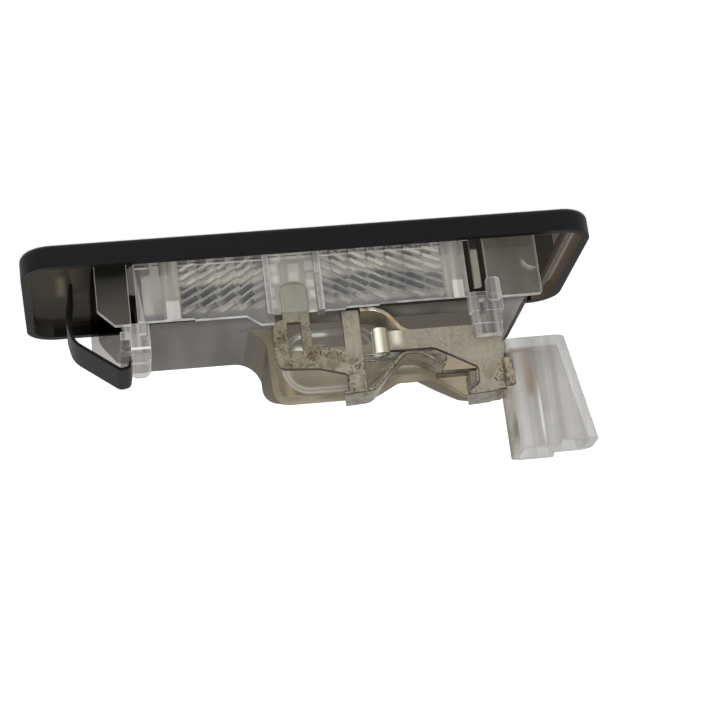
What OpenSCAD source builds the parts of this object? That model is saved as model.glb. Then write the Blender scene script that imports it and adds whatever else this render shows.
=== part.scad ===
// Number plate lamp. It lies on its bezel with the lens face down on z = 0 and its back up.
// +X runs to the end with the steel clip spring, -Y to the side with the contact strips.

/* [Bezel] */
// Length of the bezel
bezel_l = 92; // [88:1:110]
// Width of the bezel
bezel_w = 34; // [33:1:44]
// Height of the bezel from its front face to its panel seat
bezel_h = 4; // [3.6:0.1:5]
// Corner radius of the bezel in plan
bezel_r = 5; // [4:0.5:8]
// Radius of the bezel's rounded front edge
bezel_edge_r = 1.2; // [0.5:0.1:1.6]
// Thickness of the bezel's front plate
bezel_plate_t = 1.4; // [1.2:0.1:1.8]
// Thickness of the bezel's skirt
skirt_t = 1.3; // [1:0.1:1.6]
// Width of the open channel at the bezel's plug end
channel_w = 1.7; // [1.2:0.1:2.4]
// Thickness of the ridge between the channel and the lens
ridge_t = 0.9; // [0.7:0.1:1.2]
// Drop of the ridge below the panel seat
ridge_drop = 0.8; // [0.4:0.1:1.2]

/* [Lens] */
// Length of the light window
window_l = 58; // [50:1:62]
// Width of the light window
window_w = 19; // [16:0.5:21]
// Corner radius of the light window
window_r = 3; // [1:0.5:5]
// How far the window stands back from the front face
window_recess = 0.4; // [0.2:0.1:0.8]
// Thickness of the lens flange
flange_t = 1; // [0.8:0.1:1.3]
// Thickness of the side wall, tabs and pocket
clear_t = 1; // [0.8:0.1:1.3]
// Height of the side wall above the flange
side_wall_h = 10.4; // [9.8:0.1:11]
// Distance from the shell's spring end to the prisms of the side wall
wall_in_spring = 14.25; // [13.6:0.05:15]
// Distance from the shell's plug end to the prisms of the side wall
wall_in_plug = 19.25; // [18.4:0.05:20.2]
// Height of a prism ridge
prism_h = 0.45; // [0.2:0.05:0.5]
// Number of prism columns along the side wall
prism_columns = 14; // [10:1:18]
// Number of prism ridges in one column
prism_rows = 6; // [2:1:7]

/* [Latch tabs] */
// Length of the tab at the spring end
tab_left_l = 5.1; // [4:0.1:6]
// Length of the tab at the plug end
tab_right_l = 8.6; // [6:0.1:9.4]
// Height of the tabs above the flange
tab_h = 10.9; // [9.5:0.1:12]
// Chamfer of the tab at the spring end
tab_chamfer = 2.6; // [1:0.1:3.5]
// Width of the slits beside the tabs
slit_w = 1.1; // [0.6:0.1:1.4]

/* [Back shell] */
// Distance from the bezel's spring end to the shell
shell_in_spring = 10.45; // [9.5:0.05:12]
// Distance from the bezel's plug end to the shell
shell_in_plug = 5.85; // [5.2:0.05:7]
// Room on the lens flange behind the shell's far face
shell_inset = 3.6; // [2.6:0.1:5]
// Lean of the shell's plug end, seat to back
shell_lean = 5.4; // [3:0.1:7]
// Height of the flat back above the front face
back_z = 12.7; // [12:0.1:13.4]
// Wall thickness of the shell
shell_t = 1.3; // [1:0.1:1.5]

/* [Bulb] */
// Radius of the glass envelope
bulb_r = 5.15; // [4.9:0.05:5.3]
// Length of the glass envelope, tip to wedge
envelope_l = 17; // [16:0.5:18]
// Length of the wedge base
wedge_l = 9.8; // [9:0.1:10.5]
// Width of the wedge base
wedge_w = 9.4; // [8.6:0.1:9.6]
// Thickness of the wedge base
wedge_t = 2.1; // [1.9:0.1:2.4]
// Wall thickness of the glass
glass_t = 0.6; // [0.4:0.1:0.8]
// Radius of the lead wires
lead_r = 0.25; // [0.2:0.05:0.3]
// Coil radius of the filament
coil_r = 0.45; // [0.4:0.05:0.6]
// Radius of the filament wire
filament_r = 0.12; // [0.1:0.01:0.14]
// Turns of the filament
coil_turns = 6; // [4:1:8]

/* [Contact strips] */
// Thickness of the strip metal
strip_t = 0.6; // [0.4:0.05:0.7]
// Depth of the spring fingers that clamp the wedge
finger_w = 6.4; // [5:0.1:7]
// Width of the strips' terminal blades
blade_w = 2.8; // [2.4:0.1:3]
// Length of the blades inside the plug shroud
blade_l = 9.5; // [8:0.1:11]

/* [Plug shroud] */
// Height of the shroud's mouth above the front face
mouth_z = 37.2; // [35:0.1:39]
// Depth of the shroud along its mouth
shroud_d = 8; // [7.6:0.1:9]
// Width of the shroud at its closed end
shroud_base_w = 10.6; // [10:0.1:12]
// Extra width of the shroud at its mouth
shroud_flare = 3.2; // [1:0.1:3.4]
// Wall thickness of the shroud
shroud_t = 1.3; // [1:0.1:1.5]

/* [Clip spring] */
// Thickness of the spring steel
spring_t = 0.5; // [0.4:0.05:0.6]
// Width of the spring
spring_w = 10; // [8:0.5:11]

/* [Hidden] */
$fn = 48;
eps = 0.01;
seat_gap = 0.05;
window_gap = 0.2;
strip_gap = 0.25;
slot_gap = 0.15;
wall_inset = 1.65;
flange_z = bezel_plate_t;
flange_top = flange_z + flange_t;
ridge_x = bezel_l / 2 - skirt_t - channel_w;
flange_x0 = -(ridge_x - ridge_t - seat_gap);
flange_x1 = bezel_l / 2 - skirt_t - seat_gap;
flange_w = bezel_w - 2 * skirt_t - 2 * seat_gap;
lens_face_y = -flange_w / 2 + wall_inset;
wall_back_y = lens_face_y + clear_t;
strip_y = wall_back_y + prism_h + strip_gap;
strip_back_y = strip_y + strip_t;
shell_near_y = strip_back_y + strip_gap;
shell_far_y = flange_w / 2 - shell_inset;
bulb_y = strip_back_y + 6.2;
bulb_z = back_z + 6.4;
bulb_tip_x = 5.9;
wedge_x = bulb_tip_x - envelope_l;
wedge_end_x = wedge_x - wedge_l;
wedge_low_z = bulb_z - wedge_t / 2;
wedge_high_z = bulb_z + wedge_t / 2;
finger_gap = 0.3;
lead_y = 1.6;
face_lead_z = wedge_t / 2 - lead_r + 0.1;
lead_fold_l = 5.5;
filament_x = wedge_x + 9;
pocket_x = [bulb_tip_x - 6.2, bulb_tip_x + 1.1];
bay_gap = 0.35;
bay_cut_y = bulb_y + 0.5;
bay_end_x = bulb_tip_x + bay_gap + shell_t;
bay_top_z = bulb_z + bulb_r + bay_gap;
neck_z = wedge_high_z + 2.3;
flare_z = bay_top_z + 2.1;
roof_fall = 18.5;
bay_flare_r = 8.9;
shroud_x = wedge_end_x - 9;
shroud_y = bulb_y - 3.5;
shroud_z = bulb_z - 0.2;
tail_z = bulb_z + 4.2;
tail_w = 2;
tail_y = bulb_y - 2.1;
arm_y = bulb_y - 1;
arm_z = bulb_z + 1.5;
arm_h = 1.9;
return_blade_x = shroud_x - 3;
supply_blade_x = shroud_x - 5.9;
ledge_z = back_z + 2.5;
shell_x0 = -bezel_l / 2 + shell_in_plug;
shell_x1 = bezel_l / 2 - shell_in_spring;
wall_x0 = shell_x0 + wall_in_plug;
wall_x1 = shell_x1 - wall_in_spring;
rib_w = 2.9;
rib_plug_w = 3.7;
plain_l = 3;
wall_low_x = wall_x0 - rib_plug_w;
guide_w = 0.9;
post_w = 1.1;
end_rib_x = wall_x1 + rib_w + plain_l;

// Corner rounding for a closed outline: each point is [x, y, radius].
function unit(v) = v / norm(v);
function corner(a, b, c, r, steps) =
    let (u = unit([a[0] - b[0], a[1] - b[1]]), v = unit([c[0] - b[0], c[1] - b[1]]),
         half = acos(max(-1, min(1, u * v))) / 2, reach = r / tan(half),
         centre = [b[0], b[1]] + unit(u + v) * r / sin(half),
         from = [b[0], b[1]] + u * reach - centre, to = [b[0], b[1]] + v * reach - centre,
         start = atan2(from[1], from[0]), turn = atan2(to[1], to[0]) - start,
         sweep = turn > 180 ? turn - 360 : turn < -180 ? turn + 360 : turn)
    r <= 0 ? [[b[0], b[1]]]
           : [for (i = [0:steps]) let (a = start + sweep * i / steps) centre + r * [cos(a), sin(a)]];
function rounded(points, steps = 5) =
    let (n = len(points))
    [for (i = [0:n - 1])
        each corner(points[(i + n - 1) % n], points[i], points[(i + 1) % n], points[i][2], steps)];

// Both sides of a bent ribbon of thickness t along a path of [x, z, bend radius] points.
function side(path, i, d) =
    let (n = len(path), p = [path[i][0], path[i][1]],
         before = i > 0 ? unit(p - [path[i - 1][0], path[i - 1][1]]) : unit([path[1][0], path[1][1]] - p),
         after = i < n - 1 ? unit([path[i + 1][0], path[i + 1][1]] - p) : before,
         mid = unit(before + after), reach = d / (mid * after))
    [p[0] - mid[1] * reach, p[1] + mid[0] * reach, path[i][2] <= 0 ? 0
        : max(0.05, path[i][2] + ((before[0] * after[1] - before[1] * after[0]) > 0 ? -d : d))];
function ribbon(path, t) =
    rounded(concat([for (i = [0:len(path) - 1]) side(path, i, t / 2)],
                   [for (i = [len(path) - 1:-1:0]) side(path, i, -t / 2)]));

// A flat outline in X and Z, given the depth from y0 to y1.
module upright(y0, y1) {
    translate([0, y1, 0])
        rotate([90, 0, 0])
            linear_extrude(y1 - y0)
                children();
}

module rounded_rect(l, w, r) {
    square([l - 2 * r, w], center = true);
    square([l, w - 2 * r], center = true);
    for (x = [-1, 1], y = [-1, 1])
        translate([x * (l / 2 - r), y * (w / 2 - r)])
            circle(r);
}

// A slab whose lower edge is rounded by e.
module soft_slab(l, w, r, h, e) {
    translate([0, 0, e])
        linear_extrude(h - e)
            rounded_rect(l, w, r);
    linear_extrude(h)
        rounded_rect(l - 2 * e, w - 2 * e, r - e);
    for (y = [-1, 1])
        translate([0, y * (w / 2 - e), e])
            rotate([0, 90, 0])
                cylinder(r = e, h = l - 2 * r, center = true);
    for (x = [-1, 1])
        translate([x * (l / 2 - e), 0, e])
            rotate([90, 0, 0])
                cylinder(r = e, h = w - 2 * r, center = true);
    for (x = [-1, 1], y = [-1, 1])
        translate([x * (l / 2 - r), y * (w / 2 - r), e])
            rotate_extrude()
                translate([r - e, 0])
                    circle(e);
}

module bezel() {
    ridge_end_gap = 1;
    ridge_w = bezel_w - 2 * skirt_t - 2 * ridge_end_gap;
    opening_l = window_l + 2 * window_gap;
    opening_w = window_w + 2 * window_gap;
    color([0.13, 0.13, 0.125]) {
        difference() {
            soft_slab(bezel_l, bezel_w, bezel_r, bezel_h, bezel_edge_r);
            translate([0, 0, bezel_plate_t])
                linear_extrude(bezel_h)
                    rounded_rect(bezel_l - 2 * skirt_t, bezel_w - 2 * skirt_t, bezel_r - skirt_t);
            translate([0, 0, -eps])
                linear_extrude(bezel_h)
                    rounded_rect(opening_l, opening_w, window_r + window_gap);
        }
        translate([-ridge_x, -ridge_w / 2, bezel_plate_t - eps])
            cube([ridge_t, ridge_w, bezel_h - ridge_drop - bezel_plate_t + eps]);
    }
}

// One prism ridge: a triangular bar on the inside of the side wall, rooted in it.
module prism_bar(l, w) {
    root = 0.3;
    rotate([90, 0, 90])
        linear_extrude(l, center = true)
            polygon([[-root, -w / 2], [0, -w / 2], [prism_h, 0], [0, w / 2], [-root, w / 2]]);
}

// The prisms fan out from the pocket, lower towards the wall's ends.
// The columns behind the pocket are left out.
module prism_fan(pocket, z0, z1) {
    steepest = 42;
    slant_fall = 36;
    bar_fill = [0.94, 0.56];
    wall_l = wall_x1 - wall_x0;
    pitch = wall_l / prism_columns;
    row_h = (z1 - z0) / prism_rows;
    middle = (pocket[0] + pocket[1]) / 2;
    for (i = [0:prism_columns - 1], k = [0:prism_rows - 1]) {
        x = wall_x0 + pitch * (i + 0.5);
        reach = abs(x - middle);
        slant = steepest - slant_fall * reach / wall_l;
        if (reach > (pocket[1] - pocket[0]) / 2 + pitch / 2)
            translate([x, wall_back_y, z0 + row_h * (k + 0.5)])
                rotate([0, x > middle ? -slant : slant, 0])
                    prism_bar(pitch * bar_fill[0], row_h * bar_fill[1]);
    }
}

module prism_lens() {
    wall_z = flange_top + side_wall_h;
    edge_step = 0.25;
    pocket_drop = 2.1;
    rib_proud = 0.4;
    guide_proud = 0.5;
    anchor_x = end_rib_x - 0.6;
    anchor_y = wall_back_y + 0.4;
    anchor_z = back_z + seat_gap;
    arm_x = wall_low_x - 5.2;
    tab_left_x = end_rib_x + post_w + slit_w;
    tab_right_x = wall_low_x - slit_w * 2 - post_w;
    tab_z = flange_top + tab_h;
    color([0.86, 0.87, 0.85, 0.35]) {
        // Flange in the bezel, and the window that fills the bezel's opening
        translate([(flange_x0 + flange_x1) / 2, 0, flange_z])
            linear_extrude(flange_t)
                rounded_rect(flange_x1 - flange_x0, flange_w, bezel_r - skirt_t - seat_gap);
        translate([0, 0, window_recess])
            linear_extrude(flange_top - window_recess)
                rounded_rect(window_l, window_w, window_r);
        // Side wall, with a deeper edge over the pocket
        upright(lens_face_y, wall_back_y)
            polygon([[wall_low_x, flange_top - eps], [wall_low_x, wall_z],
                     [wall_x0 + 10.7, wall_z], [wall_x0 + 10.8, wall_z + edge_step],
                     [wall_x0 + 16.2, wall_z + edge_step], [wall_x0 + 16.3, wall_z + 2 * edge_step],
                     [pocket_x[0] - guide_w, wall_z + 2 * edge_step], [pocket_x[0], wall_z + pocket_drop],
                     [pocket_x[1] + 2, wall_z + pocket_drop], [pocket_x[1] + 4.2, wall_z + 2 * edge_step],
                     [wall_x1 - 2, wall_z + 2 * edge_step], [wall_x1 - 1.9, wall_z + edge_step],
                     [end_rib_x, wall_z + edge_step], [end_rib_x, flange_top - eps]]);
        prism_fan([pocket_x[0] - 1, pocket_x[1] + 1], flange_top + 1, wall_z - 0.7);
        // Thick ribs at the wall's two ends
        for (rib = [[wall_low_x, rib_plug_w], [wall_x1, rib_w]])
            translate([rib[0], lens_face_y - rib_proud, flange_top - eps])
                cube([rib[1], rib_proud + eps, side_wall_h + 0.3]);
        // Guide ribs of the pocket, outside and inside
        for (x = [pocket_x[0] - guide_w, pocket_x[1]]) {
            translate([x, lens_face_y - guide_proud, flange_top - eps])
                cube([guide_w, guide_proud + eps, side_wall_h + 0.6]);
            translate([x, wall_back_y - eps, flange_top + side_wall_h * 0.4])
                cube([guide_w, strip_back_y - wall_back_y, side_wall_h * 0.6 + 1.3]);
        }
        // Posts beside the slits
        translate([end_rib_x, lens_face_y, flange_top - eps])
            cube([post_w, clear_t + 1.2, side_wall_h + 0.2]);
        translate([wall_low_x - slit_w - post_w, lens_face_y, flange_top - eps])
            cube([post_w, clear_t, side_wall_h - 1.4]);
        // Anchor of the clip spring: block, ledge and front column, standing on the shell's back
        upright(anchor_y, -spring_w / 2 - 0.1)
            polygon(rounded([[anchor_x, anchor_z, 0], [anchor_x + 3.1, anchor_z, 0],
                             [anchor_x + 3.1, ledge_z + 4.2, 0.9], [anchor_x, ledge_z + 4.2, 1.3]]));
        translate([anchor_x, anchor_y, ledge_z - 1.2])
            cube([4.6, spring_w / 2 - anchor_y, 1.2]);
        translate([anchor_x, anchor_y, anchor_z])
            cube([2.2, spring_w / 2 - anchor_y, ledge_z - 0.6 - back_z]);
        translate([end_rib_x + 3, anchor_y + 1, anchor_z])
            cylinder(r = 0.7, h = ledge_z - 0.6 - back_z, $fn = 32);
        translate([end_rib_x, wall_back_y - 0.4, wall_z - 1.5])
            cube([post_w, 1.6, 3.5]);
        // Stepped arm that holds the long strip: inset, stand-out, start and height of each step
        difference() {
            for (step = [[0, 0.23, -0.4, 3.2], [0.3, 0.11, 2.28, 2.6], [0.6, 0, 4.36, 2.3]])
                translate([arm_x + step[0], lens_face_y - step[1], wall_z + step[2]])
                    cube([5.4 - 2 * step[0], strip_y - seat_gap - lens_face_y + step[1], step[3]]);
            translate([arm_x + 2.9, lens_face_y - 1, wall_z + 0.8])
                cube([0.9, wall_inset + 2, 2]);
        }
        upright(lens_face_y - 0.6, lens_face_y + 0.3)
            translate([arm_x + 1.3, wall_z - 0.7])
                rounded_rect(2.3, 3.9, 0.7);
        // Latch tabs
        upright(lens_face_y, wall_back_y)
            polygon([[tab_left_x, flange_top - eps], [tab_left_x, tab_z],
                     [tab_left_x + tab_left_l - tab_chamfer, tab_z],
                     [tab_left_x + tab_left_l, tab_z - tab_chamfer],
                     [tab_left_x + tab_left_l, flange_top - eps]]);
        upright(lens_face_y, wall_back_y)
            polygon(rounded([[tab_right_x, flange_top - eps, 0], [tab_right_x, tab_z, 0.5],
                             [tab_right_x - tab_right_l, tab_z, 0.5],
                             [tab_right_x - tab_right_l, flange_top - eps, 0]]));
    }
}

// Hump over the bulb. Its outline in X and Z runs back along a roof that falls towards the far wall.
module bay_solid(grow) {
    function rise(z) = (z - back_z + grow) * cos(roof_fall);
    end_x = bulb_tip_x + bay_gap + grow;
    flare_x = shroud_x + seat_gap + shell_t - grow;
    low = -4;
    foot_z = back_z - shell_t - 1;
    high_z = bulb_z + bay_flare_r + 4;
    near = grow > 0 ? 0 : -1;
    far = shell_far_y - bay_cut_y - shell_t + grow;
    intersection() {
        translate([0, bay_cut_y, back_z])
            rotate([-roof_fall, 0, 0])
                upright(-4, shell_far_y - bay_cut_y + 8)
                    polygon(rounded([[end_x + 0.4, low, 0], [end_x, rise(bay_top_z), 1.2 + grow],
                                     [wedge_x + 2.4, rise(bay_top_z), 2], [wedge_x - 1.7, rise(neck_z), 2],
                                     [wedge_end_x + 2.6, rise(neck_z), 3], [flare_x + 5, rise(flare_z), 3],
                                     [flare_x, rise(flare_z), 1], [flare_x, low, 0]]));
        translate([0, bay_cut_y, 0])
            rotate([0, -90, 0])
                linear_extrude(5 * envelope_l, center = true)
                    polygon(rounded([[foot_z, near, 0], [high_z, near, 0], [high_z, 3, 0],
                                     [bulb_z + 1, far, 3 + grow], [foot_z, far, 0]]));
    }
}

// Outline of the shell's box in X and Z: a tight round at the spring end, a long lean at the plug end.
function box_outline(inset) =
    let (x0 = shell_x0 + inset, x1 = shell_x1 - inset, z1 = back_z - inset,
         z0 = flange_top + (inset > 0 ? -1 : seat_gap))
    rounded([[x0, z0, 0], [x0, flange_top + 2.4, 2.5], [x0 + shell_lean, z1, 3], [x1 - 3, z1, 2.6 - inset],
             [x1, z1 - 4, 2.5], [x1 - 0.6, z0, 0]]);

module back_shell() {
    fillet_r = 4.5;
    color([0.47, 0.46, 0.44, 0.85]) {
        difference() {
            union() {
                upright(shell_near_y, shell_far_y)
                    polygon(box_outline(0));
                bay_solid(shell_t);
                // Concave sweep from the flat back up to the hump
                intersection() {
                    translate([0, bay_cut_y, 0])
                        cube([2 * bezel_w, shell_far_y - bay_cut_y, 2 * back_z]);
                    difference() {
                        upright(bay_cut_y, shell_far_y)
                            square_at(bay_end_x - 1, back_z - 1, fillet_r + 1, fillet_r + 1);
                        upright(bay_cut_y - 1, shell_far_y + 1)
                            translate([bay_end_x + fillet_r, back_z + fillet_r])
                                circle(fillet_r);
                    }
                }
            }
            // Hollow of the box, open to the lens
            upright(shell_near_y + shell_t, shell_far_y - shell_t)
                polygon(box_outline(shell_t));
            // Hollow of the hump, open to the box and to the contact side
            bay_solid(0);
        }
    }
}

module square_at(x, y, w, h) {
    translate([x, y])
        square([w, h]);
}

// Plug shroud, with a foot that stands on the shell and carries the long strip.
module shroud_solid(grow) {
    w = shroud_base_w - 2 * grow;
    d = shroud_d - 2 * grow;
    top = mouth_z - shroud_z;
    r = max(0.6, 1.8 - grow);
    translate([shroud_x, shroud_y + grow, shroud_z + grow])
        mirror([1, 0, 0])
            linear_extrude(top, scale = [(w + shroud_flare) / w, 1], slices = 1)
                translate([w / 2, d / 2])
                    rounded_rect(w, d, r, $fn = 24);
}

module contact_carrier() {
    foot = [6.7, bay_cut_y - seat_gap - shroud_y, 2.6];
    mouth_step = 0.8;
    color([0.8, 0.8, 0.78, 0.4]) {
        difference() {
            shroud_solid(0);
            translate([-shroud_t, 0, 0])
                shroud_solid(shroud_t);
            // The mouth steps back at its outer part
            translate([shroud_x - shroud_base_w - shroud_flare - 1, shroud_y - 1, mouth_z - mouth_step])
                cube([shroud_flare + 4.4, shroud_d + 2, mouth_step + 1]);
            // Slots where the two strips come in
            translate([shroud_x - shroud_t - 1, tail_y - slot_gap, tail_z - strip_t / 2 - slot_gap])
                cube([shroud_t + 2, tail_w + 2 * slot_gap, strip_t + 2 * slot_gap]);
            translate([shroud_x - shroud_t - 1, arm_y - slot_gap, arm_z - slot_gap])
                cube([shroud_t + 2, strip_t + 2 * slot_gap, arm_h + 2 * slot_gap]);
        }
        translate([shroud_x - shroud_t / 2, shroud_y, tail_z + strip_t / 2 + 0.3])
            cube(foot);
        translate([shroud_x + 1.6, strip_back_y + seat_gap, tail_z + strip_t / 2 + 0.6])
            cube([3.6, shroud_y - strip_back_y, 2]);
    }
}

// Cuts the free edge of a lip on a slant, from its near corner at x.
module lip_cut(x, z) {
    lip_slant = 9;
    translate([x, strip_y, z - 3])
        rotate([0, 0, lip_slant])
            translate([0, -2, 0])
                cube([4, finger_w + 4, 6]);
}

// A ribbon bent in X and Z, w deep from y0.
module bent(path, y0, w) {
    upright(y0, y0 + w)
        polygon(ribbon(path, strip_t));
}

// The long strip: plate, rolled eye, lower finger under the wedge, lip and blade.
module supply_contact() {
    eye_r = 1.35;
    roll_r = 0.8;
    plate_z = wedge_low_z - finger_gap - strip_t;
    curl_z = bulb_z - bulb_r - finger_gap - strip_t / 2 - 0.15;
    x1 = wedge_x + 1.6;
    eye_z = bulb_z + 2.2;
    x0 = shroud_x + 0.5;
    lip_z = bulb_z + 9.2;
    lip_w = finger_w - 0.6;
    point = [0.6, 0.8];
    color([0.62, 0.6, 0.53]) {
        upright(strip_y, strip_back_y)
            polygon(rounded([[x1, plate_z, 0], [x0, plate_z, 0.8], [x0 + 0.6, lip_z, 0],
                             [wedge_end_x - 1.9, lip_z, 0], [wedge_end_x - 3.7, lip_z - 1.3, 1],
                             [wedge_end_x - 3.9, lip_z - 3.9, 0.8], [wedge_end_x + 1.7, eye_z - 0.1, 1.5],
                             [wedge_end_x + 2.9, eye_z - 0.7, 2], [x1, eye_z - 0.8, 0]]));
        difference() {
            translate([x1, strip_back_y - eye_r, plate_z])
                cylinder(r = eye_r, h = eye_z - plate_z);
            translate([x1, strip_back_y - eye_r, plate_z - 1])
                cylinder(r = eye_r - strip_t, h = eye_z - plate_z + 2);
            translate([x1, strip_back_y - eye_r - strip_t / 2 - 0.3, plate_z - 1])
                cube([eye_r + 1, 1, eye_z - plate_z + 2]);
        }
        // Folded edge that runs under the wedge and curls away along the glass
        bent([[wedge_x + 4.1, curl_z, 0], [wedge_x + 0.7, curl_z, 4],
              [wedge_x - 2.5, plate_z + strip_t / 2, 2.4],
              [wedge_end_x - 3.1, plate_z + strip_t / 2, 0]], strip_y, finger_w);
        // Lip at the strip's far edge
        difference() {
            bent([[wedge_end_x - 1.5, lip_z + 0.3, 0], [x0 + 2.2, lip_z, 2], [x0 + 0.5, lip_z - 1.2, 0]],
                 strip_y, lip_w);
            lip_cut(wedge_end_x - 1.6, lip_z);
        }
        // Rolled edge beside the shroud
        difference() {
            translate([x0 - 0.1, strip_back_y - roll_r, tail_z + 0.1])
                cylinder(r = roll_r, h = 4.4);
            translate([x0 - 0.1, strip_back_y - roll_r, tail_z - 0.3])
                cylinder(r = roll_r - 0.45, h = 5.2);
        }
        // Fold into the shroud, arm and blade
        translate([x0, strip_y, arm_z])
            cube([strip_t, arm_y + strip_t - strip_y, arm_h]);
        upright(arm_y, arm_y + strip_t)
            polygon([[x0 + strip_t, arm_z], [supply_blade_x - blade_w / 2, arm_z],
                     [supply_blade_x - blade_w / 2, arm_z + blade_l],
                     [supply_blade_x - blade_w / 2 + point[0], arm_z + blade_l + point[1]],
                     [supply_blade_x + blade_w / 2 - point[0], arm_z + blade_l + point[1]],
                     [supply_blade_x + blade_w / 2, arm_z + blade_l],
                     [supply_blade_x + blade_w / 2, arm_z + arm_h], [x0 + strip_t, arm_z + arm_h]]);
    }
}

// The short strip: pocket leg with a window, bar, and the upper finger that runs on to its blade.
module return_contact() {
    bar_x = [wedge_x + 7.2, wedge_x + 4.4];
    bar_top_z = back_z + 0.7;
    low_z = bulb_z + bulb_r + 2.35;
    leg_x = [pocket_x[0] + 1.5, pocket_x[1] - 1.5];
    tail_x = wedge_end_x + 1.3;
    finger_z = wedge_high_z + finger_gap + strip_t / 2;
    color([0.6, 0.57, 0.5]) {
        upright(strip_y, strip_back_y)
            difference() {
                polygon(rounded([[leg_x[1], flange_top + 5.6, 1.4], [leg_x[0], flange_top + 5.6, 1.4],
                                 [leg_x[0], bulb_z - 0.6, 0.3], [bar_x[0], bulb_z + 0.7, 0.3],
                                 [bar_x[0], bar_top_z, 0], [bar_x[1], bar_top_z, 0], [bar_x[1], low_z, 0],
                                 [bar_x[0] + 0.2, low_z, 0], [bar_x[0] + 0.2, low_z - 2.8, 0.5],
                                 [leg_x[0] - 0.7, low_z - 4, 1], [leg_x[1] + 1.1, low_z - 4.4, 1.2],
                                 [leg_x[1] + 1.9, bulb_z + 1.3, 1], [leg_x[1] + 1.7, bulb_z - 4.7, 0.4],
                                 [leg_x[1], bulb_z - 5.2, 0.3]]));
                square_at(leg_x[0] + 1.6, bulb_z - 4.5, 2.1, 4.7);
            }
        // Folded lip at the top of the bar
        translate([bar_x[1], strip_y, bar_top_z - 0.2])
            cube([bar_x[0] - bar_x[1], 2, strip_t]);
        // Upper finger: it starts as wide as the bar's fold and passes behind the long strip
        difference() {
            bent([[wedge_x + 8.5, low_z + 0.3, 0], [wedge_x + 3.3, low_z, 2.2],
                  [wedge_x - 2.1, finger_z, 2], [wedge_x - 4.9, finger_z, 3], [tail_x, tail_z, 0]],
                 strip_y, finger_w);
            translate([wedge_end_x - 9, strip_y - 1, finger_z - 2])
                cube([wedge_l + 8.7, strip_t + 1.2, 8]);
            lip_cut(wedge_x + 8.3, low_z);
        }
        // Tail and blade
        bent([[tail_x + 0.6, tail_z, 0], [return_blade_x, tail_z, 0.8],
              [return_blade_x, tail_z + blade_l - 1.6, 0]], tail_y, tail_w);
    }
}

// Steel spring: foot on the lens flange, hooked end on the ledge.
module clip_spring() {
    foot_x = shell_x1 + 2.65;
    hook_x = end_rib_x + 2.3;
    color([0.25, 0.25, 0.25])
        upright(-spring_w / 2, spring_w / 2)
            polygon(ribbon([[foot_x, flange_top + seat_gap + 0.04, 0], [foot_x + 1.1, 8.4, 8],
                            [foot_x + 0.3, 12.2, 3.5], [hook_x + 1.9, ledge_z + 2.4, 1.2],
                            [hook_x + 0.4, ledge_z + 2.1, 0.7], [hook_x, ledge_z + 0.3, 0]], spring_t));
}

module wedge_block() {
    translate([wedge_end_x, bulb_y - wedge_w / 2, bulb_z - wedge_t / 2])
        cube([wedge_l + 1.5, wedge_w, wedge_t]);
}

// Wedge bulb: blown envelope with a pressed flat base.
module bulb_glass() {
    channel_r = lead_r + 0.05;
    color([0.9, 0.9, 0.9, 0.3])
        difference() {
            union() {
                translate([wedge_x, bulb_y, bulb_z])
                    rotate([0, 90, 0])
                        rotate_extrude()
                            polygon(rounded([[0, -0.5, 0], [2.4, -0.5, 0.5], [bulb_r, 3.2, 3],
                                             [bulb_r, envelope_l, bulb_r - 0.4], [0, envelope_l, 0]], 10));
                wedge_block();
            }
            translate([wedge_x, bulb_y, bulb_z])
                rotate([0, 90, 0])
                    rotate_extrude()
                        polygon(rounded([[0, 1.2, 0], [1.8, 1.2, 0.4], [bulb_r - glass_t, 3.6, 2.4],
                                         [bulb_r - glass_t, envelope_l - glass_t, bulb_r - glass_t - 0.4],
                                         [0, envelope_l - glass_t, 0]], 10));
            for (s = [-1, 1]) {
                // Channels through the base, and the grooves where the wires lie on its faces
                translate([wedge_end_x - 1, bulb_y + s * lead_y, bulb_z])
                    rotate([0, 90, 0])
                        cylinder(r = channel_r, h = wedge_l + 4, $fn = 24);
                translate([wedge_end_x - 1, bulb_y + s * lead_y, bulb_z + s * face_lead_z])
                    rotate([0, 90, 0])
                        cylinder(r = channel_r, h = lead_fold_l + 1.3, $fn = 24);
                // Side notches that the socket grips
                translate([wedge_end_x + 3, bulb_y + s * wedge_w / 2, bulb_z - wedge_t])
                    cylinder(r = 0.7, h = 2 * wedge_t, $fn = 24);
            }
        }
}

// A lead wire: post inside the glass, run through the base, folded back on one face.
module bulb_lead(s) {
    end_x = wedge_end_x - lead_r - 0.15;
    translate([0, bulb_y + s * lead_y, bulb_z]) {
        translate([end_x, 0, 0])
            rotate([0, 90, 0])
                cylinder(r = lead_r, h = filament_x + coil_r + 0.3 - end_x, $fn = 20);
        translate([end_x, 0, s > 0 ? 0 : -face_lead_z])
            cylinder(r = lead_r, h = face_lead_z, $fn = 20);
        for (z = [0, s * face_lead_z])
            translate([end_x, 0, z])
                sphere(r = lead_r, $fn = 20);
        translate([end_x, 0, s * face_lead_z])
            rotate([0, 90, 0])
                cylinder(r = lead_r, h = lead_fold_l, $fn = 20);
    }
}

module bulb_lead_upper() {
    color([0.5, 0.5, 0.5])
        bulb_lead(1);
}

module bulb_lead_lower() {
    color([0.5, 0.5, 0.5])
        bulb_lead(-1);
}

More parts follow.
